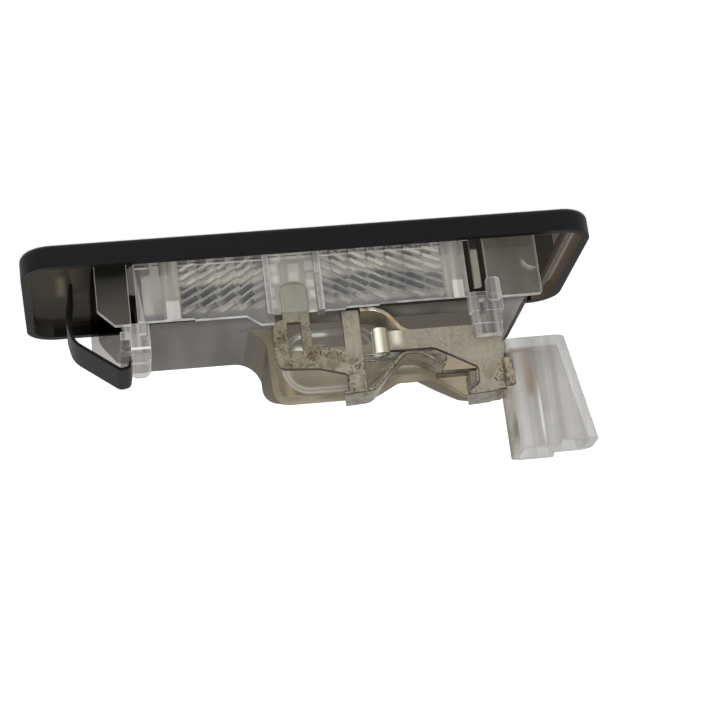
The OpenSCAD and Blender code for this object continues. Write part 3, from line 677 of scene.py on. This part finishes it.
def tinned_strip(name, light, dark, stain_colour, stain_from):
    """Tin plate with a fine grain and dark edges, stained from a height on."""
    f = Finish(name, light, 0.4, Metallic=0.5, Specular_IOR_Level=0.35)
    grain = f.ramp(f.noise(2400, 3), 0.3, 0.7)
    cloud = f.ramp(f.noise(200, 4), 0.3, 0.7)
    scratch = f.ramp(f.noise(1300, 3, (1, 1, 0.12)), 0.35, 0.7, 0.0, 0.35)
    tin = f.mix(scratch, f.mix(cloud, f.mix(grain, dark, light), light), dark)

    height = f.plus(f.place("Z"), f.ramp(f.place("X"), -4.0, -2.0, -6.0, 0.0))
    low = f.ramp(height, stain_from, stain_from + 4)
    worn = f.times(low, f.ramp(f.place("X"), -2.0, 1.5), 0.75)
    tin = f.mix(worn, tin, f.mix(grain, srgb(92, 86, 70), srgb(132, 126, 108)))
    # A painted highlight on the bend beside the eye.
    bend_highlight = f.times(f.band("X", -12.9, -11.6, 0.5), f.band("Z", 10.0, 19.5, 0.5), 0.7)
    tin = f.mix(bend_highlight, tin, srgb(226, 220, 200))

    stain = f.times(f.ramp(f.noise(700, 6), 0.46, 0.62), low, 0.6)
    tin = f.mix(stain, tin, stain_colour)
    in_patches = f.ramp(f.noise(330, 3), 0.46, 0.56)
    specks = f.times(f.ramp(f.noise(2500, 5), 0.52, 0.6), in_patches, low)
    tin = f.mix(specks, tin, srgb(72, 61, 44))

    lined = f.most(f.outline(0.24, 0.7), f.edge_towards("Z", 0.36))
    f.colour(f.mix(lined, tin, srgb(58, 48, 34)))
    f.drive("Roughness", f.ramp(f.noise(900), 0.3, 0.7, 0.3, 0.48))
    f.soften(0.15, f.noise(2200), 0.008)
    return f.material


def bright_eye():
    """The rolled eye, with a bright upright glint."""
    f = Finish("bright_eye", srgb(176, 168, 148), 0.25, Metallic=0.6)
    glint = f.band("X", -9.4, -8.5, 0.4)
    f.colour(f.mix(glint, srgb(150, 143, 124), srgb(250, 247, 232)))
    f.soften(0.2)
    return f.material


def stained_roll():
    """The rolled edge beside the shroud, stained brown."""
    f = Finish("stained_roll", srgb(120, 106, 84), 0.4, Metallic=0.4)
    f.colour(f.mix(f.ramp(f.noise(900, 4), 0.4, 0.6), srgb(76, 62, 46), srgb(150, 140, 118)))
    f.soften(0.2)
    return f.material


def cut_edge():
    return Finish("cut_edge", srgb(60, 48, 36), 0.45, Metallic=0.5).material


def amber_edge():
    """The long strip's near faces below the lead-in, brown with bright patches."""
    f = Finish("amber_edge", srgb(176, 150, 116), 0.3, Metallic=0.3)
    f.colour(f.mix(f.ramp(f.noise(500), 0.35, 0.65), srgb(128, 98, 64), srgb(190, 170, 138)))
    return f.material


def spring_steel():
    """Blued steel with black edges."""
    f = Finish("spring_steel", srgb(30, 30, 29), 0.55, Specular_IOR_Level=0.12)
    brushed = f.ramp(f.noise(700, 3, (1, 0.05, 1)), 0.3, 0.7)
    face = f.mix(brushed, srgb(27, 27, 26), srgb(42, 41, 38))
    steel = f.mix(f.ramp(f.place("Z"), 8.0, 15.0), face, srgb(9, 9, 9))
    f.colour(f.mix(f.outline(0.3), steel, srgb(10, 10, 10)))
    f.soften(0.12)
    return f.material


def spring_edge():
    return Finish("spring_edge", srgb(12, 12, 12), 0.5, Specular_IOR_Level=0.15).material


def bulb_glass():
    """Thin glass: clear face on, with painted highlight arcs where it turns away and a glowing
    painted sheen.
    """
    f = Finish("bulb_glass", srgb(232, 230, 222), 0.03, Specular_IOR_Level=0.6)
    away = f.turned_away()
    arc = f.times(f.ramp(away, 0.5, 0.72), f.ramp(away, 0.76, 0.95, 1.0, 0.4))
    # The sheen is a painted highlight that glows on the near side.
    near_side = f.ramp(f.normal("Y"), -0.2, -0.5)
    streak = f.times(f.band("Z", 15.5, 16.1, 0.3), f.band("X", -1.6, 3.2, 0.6))
    sheen = f.times(near_side, streak, 0.8)
    f.set("Emission Color", srgb(200, 200, 198))
    f.drive("Emission Strength", sheen)
    f.hide(f.ramp(f.most(arc, sheen), 0.0, 1.0, 0.02, 0.75))
    return f.material


def wire(name, colour):
    return Finish(name, colour, 0.35, Metallic=0.9).material


# Which facet wears which finish. The small numbers beside the places are tolerances.

class Face:
    """Centre, normal and reach of one facet, in millimetres."""

    def __init__(self, data, polygon):
        self.x, self.y, self.z = (v / MM for v in polygon.center)
        self.nx, self.ny, self.nz = polygon.normal
        corners = [data.vertices[i].co / MM for i in polygon.vertices]
        self.high_z = max(c.z for c in corners)
        self.low_y = min(c.y for c in corners)
        self.high_y = max(c.y for c in corners)


def bezel_face(face):
    faces_in = face.nx * face.x + face.ny * face.y < -0.5 * abs(face.x)
    if abs(face.x) > END_SLOPE and face.z < RIM - 0.1 and faces_in:
        return "floor"
    if face.nz > 0.9 and face.z < BEZEL_FLOOR + 0.6:
        return "floor"
    if face.nz > 0.9 and face.z < RIDGE_TOP and face.x < RIDGE_END:
        return "ridge"
    return "black"


def lens_face(face):
    past_spring_rib = face.x > RIBS[1][1]
    past_plug_rib = face.x < RIBS[0][0]
    if face.nz < -0.9 and abs(face.z - BEZEL_FLOOR) < 0.1:
        return "floor"
    if face.high_z < FLANGE_TOP + 0.1:
        return "base"
    behind_wall = face.y > WALL_BACK + 0.02 and face.z < WALL_EDGE
    # Prism slopes facing one way get painted shade, the others painted light.
    if behind_wall and face.ny > 0.3 and abs(face.nz) > 0.3:
        return "shade" if face.nz > 0 else "light"
    if past_spring_rib and face.y > WALL_BACK + 0.3:
        return "block"
    if past_plug_rib and on_arm(face):
        return "rim" if face.nz > 0.7 else "block"
    if face.nz > 0.7:
        return "rim"
    if abs(face.nx) > 0.8:
        return "side"
    if face.x > TABS[1] or face.x < TABS[0]:
        return "tab"
    if face.x > LAST_POST:
        return "post"
    if past_plug_rib:
        return "slit_post"
    if face.ny > 0.8:
        return "back"
    if face.y < WALL_FRONT - 0.45:
        return "post"
    if face.y < WALL_FRONT - 0.3:
        return "rib"
    return "wall"


def on_arm(face):
    """True for the faces of the arm at the plug end, without the wall's own."""
    if face.x <= ARM_END or face.z <= ARM_FOOT or face.low_y <= WALL_FRONT - 0.7:
        return False
    return face.z >= WALL_EDGE - 0.5 or face.y <= WALL_FRONT - 0.1


def shell_face(face):
    if face.ny < -0.9 and face.y < SHELL_NEAR + 0.1:
        return "side"
    on_hump = face.high_z > SHELL_BACK + 0.3 and face.y > BAY_CUT - 0.2
    if on_hump and face.ny < -0.95 and face.y < BAY_CUT + 0.2:
        return "cut"
    if on_hump:
        return "bay" if looks_in(face) else "hump"
    if face.x > SHELL_END or face.nx < -0.35:
        return "end"
    return "inner" if is_inside(face) else "back"


def is_inside(face):
    """True for the faces of the box's hollow."""
    if face.z >= SHELL_BACK - 0.6 or face.y <= SHELL_NEAR + 0.6:
        return False
    return face.ny < -0.5 or face.nz < -0.5 or (face.ny > 0.5 and face.y < 0)


def looks_in(face):
    """True for the faces of the hump's hollow, whose normals point at its middle line."""
    if face.x > BAY_END:
        return False
    x, y, z = BAY_MIDDLE
    if abs(face.nx) > 0.7:
        return (x - face.x) * face.nx > 0
    return (y - face.y) * face.ny + (z - face.z) * face.nz > 0


def shroud_face(face):
    if face.x > FOOT_END:
        return "foot"
    return "rim" if face.nz > 0.8 and face.z > SHROUD_TOP else "body"


def strip_face(face):
    on_plate = face.high_y < PLATE[1] + 0.05 and face.low_y > PLATE[0] - 0.05
    return "edge" if on_plate and abs(face.ny) < 0.5 else "tin"


def long_strip_face(face):
    stands_out = face.low_y < PLATE[0] - 0.1
    in_front = face.high_y < PLATE[1] - 0.1
    if face.x < PLATE_END and in_front and face.low_y < PLATE[0] + 0.3:
        return "roll" if abs(face.ny) < 0.99 else "tin"
    if EYE[0] < face.x < EYE[1] and (stands_out or in_front):
        return "eye"
    if face.ny < -0.9 and face.z < LEAD_IN:
        return "amber"
    return "roll" if stands_out else strip_face(face)


def spring_face(face):
    return "edge" if face.ny < -0.9 else "steel"


def dress(name, finishes, choose=None):
    """Gives a node its finishes. choose names the one of each facet."""
    data = nodes[name].data
    data.materials.clear()
    slots = {}
    for key, material in finishes.items():
        slots[key] = len(data.materials)
        data.materials.append(material)
    if choose:
        for polygon in data.polygons:
            polygon.material_index = slots[choose(Face(data, polygon))]


def dress_all():
    brown = bezel_floor()
    dress("bezel", {"black": black_bezel(), "floor": brown, "ridge": bezel_ridge()}, bezel_face)
    dress("prism_lens", {
        "floor": brown, "base": lens_base(), "wall": lens_wall(), "back": lens_back(),
        # The prisms' slopes are lit and shaded copies: painted shade on one side, painted light on
        # the other.
        "shade": prism_slope("prism_shade", srgb(142, 138, 130), srgb(44, 48, 60)),
        "light": prism_slope("prism_light", srgb(206, 202, 192), srgb(52, 56, 70)),
        "rim": lens_rim(), "side": lens_side(), "rib": lens_rib(), "post": lens_post(),
        "slit_post": lens_slit_post(), "block": lens_block(), "tab": lens_tab(),
    }, lens_face)
    dress("back_shell", {
        "back": shell_back(), "inner": shell_inner(), "end": shell_end(), "hump": shell_hump(),
        "side": shell_side(), "bay": shell_bay(), "cut": shell_cut(),
    }, shell_face)
    dress("contact_carrier", {
        "body": shroud_plastic(), "rim": shroud_rim(), "foot": shroud_foot(),
    }, shroud_face)
    edge = cut_edge()
    long_tin = tinned_strip(
        "tinned_long", srgb(146, 141, 125), srgb(112, 108, 94), srgb(100, 90, 72), 16.5)
    dress("supply_contact", {
        "tin": long_tin, "edge": edge, "eye": bright_eye(), "roll": stained_roll(),
        "amber": amber_edge(),
    }, long_strip_face)
    short_tin = tinned_strip(
        "tinned_short", srgb(149, 144, 128), srgb(104, 99, 85), srgb(84, 72, 50), 12.4)
    dress("return_contact", {"tin": short_tin, "edge": edge}, strip_face)
    dress("clip_spring", {"steel": spring_steel(), "edge": spring_edge()}, spring_face)
    dress("bulb_glass", {"glass": bulb_glass()})
    dress("bulb_lead_upper", {"wire": wire("lead_wire", srgb(150, 148, 144))})
    dress("bulb_lead_lower", {"wire": wire("lead_wire_lower", srgb(150, 148, 144))})
    dress("bulb_filament", {"wire": wire("filament_wire", srgb(120, 120, 122))})


# Surroundings

def shown_white(tree):
    """1 for the rays that see the background: the camera's, and those of gloss and glass."""
    path = tree.nodes.new("ShaderNodeLightPath")
    seen = path.outputs["Is Camera Ray"]
    for name in ("Is Glossy Ray", "Is Transmission Ray"):
        either = tree.nodes.new("ShaderNodeMath")
        either.operation = "MAXIMUM"
        tree.links.new(seen, either.inputs[0])
        tree.links.new(path.outputs[name], either.inputs[1])
        seen = either.outputs[0]
    return seen


def level(tree, kind, strength):
    """A plain white light of one kind of node."""
    node = tree.nodes.new(kind)
    node.inputs["Strength"].default_value = strength
    return node.outputs[0]


def choose_by_ray(tree, lighting, seen):
    """The first light for the lamp, the second for the rays that see the background."""
    mix = tree.nodes.new("ShaderNodeMixShader")
    tree.links.new(shown_white(tree), mix.inputs[0])
    tree.links.new(lighting, mix.inputs[1])
    tree.links.new(seen, mix.inputs[2])
    return mix.outputs[0]


def world():
    """An even dim light all round, shown as white."""
    made = bpy.data.worlds.new("studio")
    bpy.context.scene.world = made
    made.use_nodes = True
    tree = made.node_tree
    tree.nodes.clear()
    dim = level(tree, "ShaderNodeBackground", WORLD_LEVEL)
    white = level(tree, "ShaderNodeBackground", 1.0)
    out = tree.nodes.new("ShaderNodeOutputWorld")
    tree.links.new(choose_by_ray(tree, dim, white), out.inputs["Surface"])


def floor():
    """The ground, shown as white but for the lamp's soft shadow."""
    bpy.ops.mesh.primitive_plane_add(size=GROUND_SIZE, location=(0, 0, -GROUND_DROP * MM))
    plane = bpy.context.object
    plane.name = "floor"
    material = bpy.data.materials.new("floor")
    material.use_nodes = True
    tree = material.node_tree
    tree.nodes.clear()
    paint = tree.nodes.new("ShaderNodeBsdfDiffuse")
    paint.inputs["Color"].default_value = (GROUND_PAINT, GROUND_PAINT, GROUND_PAINT, 1)
    none = level(tree, "ShaderNodeEmission", 0.0)
    glow = level(tree, "ShaderNodeEmission", GROUND_GLOW)
    total = tree.nodes.new("ShaderNodeAddShader")
    tree.links.new(paint.outputs[0], total.inputs[0])
    tree.links.new(choose_by_ray(tree, none, glow), total.inputs[1])
    out = tree.nodes.new("ShaderNodeOutputMaterial")
    tree.links.new(total.outputs[0], out.inputs["Surface"])
    plane.data.materials.append(material)


def lamp(name, place, watts):
    """A round soft light that looks at the middle of the part."""
    data = bpy.data.lights.new(name, "AREA")
    data.shape = "DISK"
    data.size = LAMP_SIZE
    data.energy = watts
    made = bpy.data.objects.new(name, data)
    bpy.context.scene.collection.objects.link(made)
    made.location = place
    made.rotation_mode = "QUATERNION"
    made.rotation_quaternion = (LAMP_AIM - made.location).to_track_quat("-Z", "Y")


def camera():
    """The photograph's view, solved from the bezel's edges: it holds the lamp upside down."""
    forward = CAMERA_FORWARD.normalized()
    up = CAMERA_RIGHT.normalized().cross(forward).normalized()
    right = forward.cross(up)
    data = bpy.data.cameras.new("camera")
    data.lens = FOCAL_LENGTH
    data.sensor_width = SENSOR_WIDTH
    data.clip_start = CLIP_START
    made = bpy.data.objects.new("camera", data)
    bpy.context.scene.collection.objects.link(made)
    turn = Matrix((right, up, -forward)).transposed()
    made.matrix_world = Matrix.Translation(CAMERA_PLACE) @ turn.to_4x4()
    bpy.context.scene.camera = made


dress_all()
world()
floor()
lamp("key", *KEY)
lamp("fill", *FILL)
camera()
bpy.context.scene.view_settings.view_transform = "Standard"
